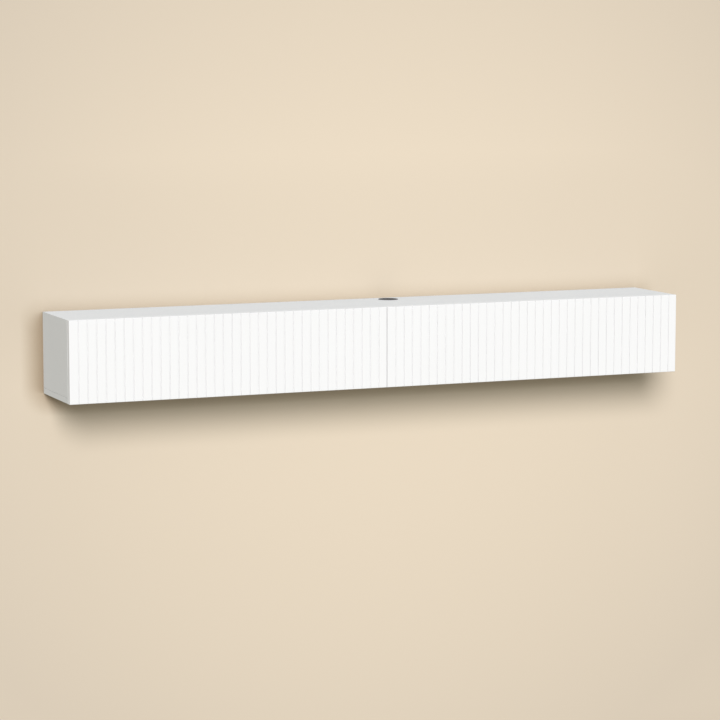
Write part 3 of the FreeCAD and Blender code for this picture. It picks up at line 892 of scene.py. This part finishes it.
def replace_cams():
    """Cam discs with a cross recess, flush in the faces of the upright boards."""
    cross_reach, cross_depth = 0.0040, 0.0040
    board_faces = (side_face_x, divider_face_x)
    bm = bmesh.new()
    for low, high in solids_of("cam_discs"):
        centre = centre_of((low, high))
        gaps = {x: min(abs(abs(x) - face) for face in board_faces) for x in (low[0], high[0])}
        open_x = min(gaps, key=gaps.get)
        way = math.copysign(1.0, open_x - centre.x)
        radius, depth = (high[1] - low[1]) / 2, high[0] - low[0]
        levels = [(radius, 0.0), (radius, depth - 0.0006), (radius - 0.0005, depth - 0.0001)]
        place = facing((open_x - way * depth, centre.y, centre.z), (way, 0, 0), spin=0.5)
        add_cross_head(bm, place, levels, cross_reach, cross_depth, count=36)
    mesh = to_mesh("cam_discs_fine", bm)
    discs = add_piece("cam_discs_fine", mesh, zinc_alloy, "cabinet")
    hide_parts("cam_discs")


housing_edge = 0.0006
replace_cams()
for name, side in SIDES:
    replace_fittings(name, side)
    soften(f"{name}_latch_housings", housing_edge)
soften("hanger_housings", housing_edge)


# ---------------------------------------------------------------- grommet

round_steps = 96


def lathe(name, profile, centre):
    """Closed outline of (radius, height) points turned about a vertical axis."""
    bm = bmesh.new()
    rings = [ring_of(bm, radius, height, round_steps) for radius, height in profile]
    for low, high in zip(rings, rings[1:] + rings[:1]):
        bridge(bm, low, high)
    bmesh.ops.translate(bm, vec=centre, verts=bm.verts)
    return to_mesh(name, bm)


def grommet_ring():
    """Sleeve and rim with moulded radii."""
    inner, ledge, sleeve, rim = 0.0275, 0.0289, 0.0297, 0.0339
    low, top, seat = sleeve_low, rim_height, rim_height - lid_thickness
    profile = [
        (inner, low + 0.0006),
        (inner + 0.0006, low),
        (sleeve - 0.0006, low),
        (sleeve, low + 0.0006),
        (sleeve, 0.0),
        (rim, 0.0),
        (rim, top - 0.0007),
        (rim - 0.0003, top - 0.0002),
        (rim - 0.0009, top),
        (ledge + 0.0003, top),
        (ledge, top - 0.0003),
        (ledge, seat),
        (inner, seat),
    ]
    mesh = lathe("grommet_ring", profile, (*grommet_centre, top_z))
    ring = add_piece("grommet_ring", mesh, grommet_plastic, "cabinet")
    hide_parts("grommet_liner")


def grommet_lid():
    """Flat lid with a round-ended notch for cables towards the wall and a softened edge."""
    radius, notch, notch_y = 0.0287, 0.0079, 0.0168
    half_mouth = math.asin(notch / radius)
    start, sweep = math.pi / 2 + half_mouth, 2 * math.pi - 2 * half_mouth
    outline = arc((0, 0), radius, start, sweep, steps=round_steps)
    outline += arc((0, notch_y), notch, 0, -math.pi, steps=24)
    bm = slab(outline, lid_thickness)
    middle = lid_thickness / 2
    round_over(bm, [e for e in bm.edges if all(v.co.z > middle for v in e.verts)], 0.0003)
    underside_z = top_z + rim_height - lid_thickness
    bmesh.ops.translate(bm, vec=(*grommet_centre, underside_z), verts=bm.verts)
    mesh = to_mesh("grommet_lid", bm)
    lid = add_piece("grommet_lid", mesh, grommet_plastic, "grommet_cap")
    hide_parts("grommet_cap")


grommet_ring()
grommet_lid()


# ---------------------------------------------------------------- stage, light and camera

# The wall's colour in the middle of its painted pool of light, and where that painted light has
# faded
wall_colour = (0.808, 0.692, 0.541)
wall_colour_where_painted_light_fades = (0.684, 0.590, 0.470)
backdrop_colour = (0.775, 0.663, 0.533)
wall_y, wall_top_z = 0.001, 5.0
floor_end_y, ground_z = -9.0, -2.0
stage_half_width = 7.0
wall_painted_light_centre, floor_painted_light_centre = (0.13, 0, -0.04), (0, -2, ground_z)
painted_light_falloff_reach = 1.75
# Painted shade close under and beside the console, where the wall is closed in
painted_crease_shade_reach = 0.078
painted_crease_shade_least = 0.38
painted_crease_shade_way = (-0.80, 0.55)  # out of the wall and up
painted_crease_shade_lean = 0.33  # and towards the middle, at the ends of the console
painted_crease_shade_powers = (0.80, 0.94, 1.11)  # the shade's red, green and blue
# Painted shade over the console, against the light that its white top throws back on the wall
painted_glow_shade_reach = 0.50
painted_glow_shade_way = (0.0, -0.87, -0.50)  # out of the wall and down
painted_glow_shade_least = 0.75
mirror_gap = 0.1


def stage_plane(name, corners, material):
    mesh = bpy.data.meshes.new(name)
    mesh.from_pydata(corners, [], [(0, 1, 2, 3)])
    mesh.materials.append(material)
    plane = bpy.data.objects.new(name, mesh)
    bpy.context.scene.collection.objects.link(plane)


def stage_paint_and_painted_light(name, centre):
    """Matt paint with a painted pool of light that fades away from a centre, and painted shade
    close under and beside the console.

    It has painted shade over the console too, against the light that its white top throws back
    on the wall.
    It is seen only from its front, so views from behind the wall or under the floor stay clear,
    and metal nearer than the mirror gap doesn't mirror it.
    """
    s = Shader(name)
    place = s.add("ShaderNodeNewGeometry", outlet="Position")
    away = s.add(
        "ShaderNodeVectorMath",
        outlet="Value",
        settings={"operation": "DISTANCE"},
        _0=place,
        _1=centre,
    )
    # Painted light: a pool of light that fades away from the centre
    painted_light_falloff = s.maths("POWER", s.maths("DIVIDE", away, painted_light_falloff_reach), 2.0)
    paint = s.tint(painted_light_falloff, wall_colour, wall_colour_where_painted_light_fades)

    # Painted shade where the wall sees the console below it, against the light its white top
    # throws back
    down = s.add("ShaderNodeCombineXYZ", _0=painted_glow_shade_way[0], _1=painted_glow_shade_way[1], _2=painted_glow_shade_way[2])
    painted_glow_shade = s.spread(s.openness(painted_glow_shade_reach, Normal=down), painted_glow_shade_least, 1.0, source=(0, 1))
    paint = s.tint(painted_glow_shade, (0, 0, 0), paint)

    # Painted shade close under and beside the console, deeper in blue than in red
    x = s.add("ShaderNodeSeparateXYZ", Vector=place)
    inwards = s.spread(x, painted_crease_shade_lean, -painted_crease_shade_lean, source=(-end_x, end_x))
    up = s.add("ShaderNodeCombineXYZ", _0=inwards, _1=painted_crease_shade_way[0], _2=painted_crease_shade_way[1])
    painted_crease_shade = s.maths("MAXIMUM", s.openness(painted_crease_shade_reach, Normal=up), painted_crease_shade_least)
    red, green, blue = (s.maths("POWER", painted_crease_shade, power) for power in painted_crease_shade_powers)
    paint = s.multiply(paint, s.add("ShaderNodeCombineColor", _0=red, _1=green, _2=blue))

    rays = s.tree.nodes.new("ShaderNodeLightPath").outputs
    far = s.maths("GREATER_THAN", rays["Ray Length"], mirror_gap)
    mirrored = s.maths("MULTIPLY", rays["Is Glossy Ray"], far)
    seen = s.maths("MAXIMUM", rays["Is Camera Ray"], mirrored)
    seen = s.maths("MAXIMUM", seen, rays["Is Transmission Ray"])
    front = s.maths("SUBTRACT", 1.0, s.add("ShaderNodeNewGeometry", outlet="Backfacing"))
    shown = s.maths("MULTIPLY", seen, front)
    clear = s.add("ShaderNodeBsdfTransparent")
    matt = s.add("ShaderNodeBsdfDiffuse", Color=paint)
    return s.show(s.add("ShaderNodeMixShader", _0=shown, _1=clear, _2=matt))


def stage_edge(y, z):
    """The two ends of an edge of the stage, from left to right."""
    return [(-stage_half_width, y, z), (stage_half_width, y, z)]


foot = stage_edge(wall_y, ground_z)
wall_corners = foot + stage_edge(wall_y, wall_top_z)[::-1]
floor_corners = foot[:1] + stage_edge(floor_end_y, ground_z) + foot[1:]
stage_plane("wall", wall_corners, stage_paint_and_painted_light("wall_paint_and_painted_light", wall_painted_light_centre))
stage_plane("floor", floor_corners, stage_paint_and_painted_light("floor_paint_and_painted_light", floor_painted_light_centre))


def light_world(colour, strength):
    """Even light from all round. Seen directly or mirrored, it has the backdrop's colour."""
    world = bpy.data.worlds.new("studio")
    bpy.context.scene.world = world
    world.use_nodes = True
    tree = world.node_tree
    tree.nodes.clear()
    light = tree.nodes.new("ShaderNodeBackground")
    light.inputs["Color"].default_value = (*colour, 1)
    light.inputs["Strength"].default_value = strength
    backdrop = tree.nodes.new("ShaderNodeBackground")
    backdrop.inputs["Color"].default_value = (*backdrop_colour, 1)
    rays = tree.nodes.new("ShaderNodeLightPath").outputs
    seen = rays["Is Camera Ray"]
    for kind in ("Is Glossy Ray", "Is Transmission Ray"):
        either = tree.nodes.new("ShaderNodeMath")
        either.operation = "MAXIMUM"
        tree.links.new(seen, either.inputs[0])
        tree.links.new(rays[kind], either.inputs[1])
        seen = either.outputs[0]
    mix = tree.nodes.new("ShaderNodeMixShader")
    tree.links.new(seen, mix.inputs[0])
    tree.links.new(light.outputs[0], mix.inputs[1])
    tree.links.new(backdrop.outputs[0], mix.inputs[2])
    output = tree.nodes.new("ShaderNodeOutputWorld")
    tree.links.new(mix.outputs[0], output.inputs["Surface"])


def add_sun(name, colour, elevation, azimuth, strength, softness):
    """Distant soft lamp. Azimuth turns it to the right from straight in front of the wall.

    Strength is how bright it makes a white surface that faces it.
    """
    lamp = bpy.data.lights.new(name, "SUN")
    lamp.color = colour
    lamp.energy = strength * math.pi
    lamp.angle = math.radians(softness)
    sun = bpy.data.objects.new(name, lamp)
    bpy.context.scene.collection.objects.link(sun)
    up, aside = math.radians(elevation), math.radians(azimuth)
    level = math.cos(up)
    towards = Vector((math.sin(aside) * level, -math.cos(aside) * level, math.sin(up)))
    sun.rotation_mode = "QUATERNION"
    sun.rotation_quaternion = towards.to_track_quat("Z", "Y")


def place_camera():
    """The photo's view, as the perspective fit to the console's corners gives it."""
    data = bpy.data.cameras.new("camera")
    data.sensor_width = 36.0
    data.lens = 130.71
    data.clip_start = 0.1
    data.clip_end = 100.0
    camera = bpy.data.objects.new("camera", data)
    bpy.context.scene.collection.objects.link(camera)
    camera.location = (-3.4400, -8.2563, 0.9501)
    yaw, pitch = math.radians(22.781), math.radians(6.958)
    level = math.cos(pitch)
    look = Vector((math.sin(yaw) * level, math.cos(yaw) * level, -math.sin(pitch)))
    camera.rotation_mode = "QUATERNION"
    camera.rotation_quaternion = look.to_track_quat("-Z", "Y")
    bpy.context.scene.camera = camera


light_world((1.0, 1.0, 0.892), 0.298)
add_sun("key", (1.0, 1.0, 1.035), elevation=22.0, azimuth=-18.0, strength=0.830, softness=24.0)
add_sun("overhead", (0.90, 1.0, 1.20), elevation=90.0, azimuth=0.0, strength=0.192, softness=30.0)
add_sun("fill", (1.0, 1.0, 1.0), elevation=-25.0, azimuth=140.0, strength=0.22, softness=60.0)
place_camera()
bpy.context.scene.view_settings.view_transform = "Standard"
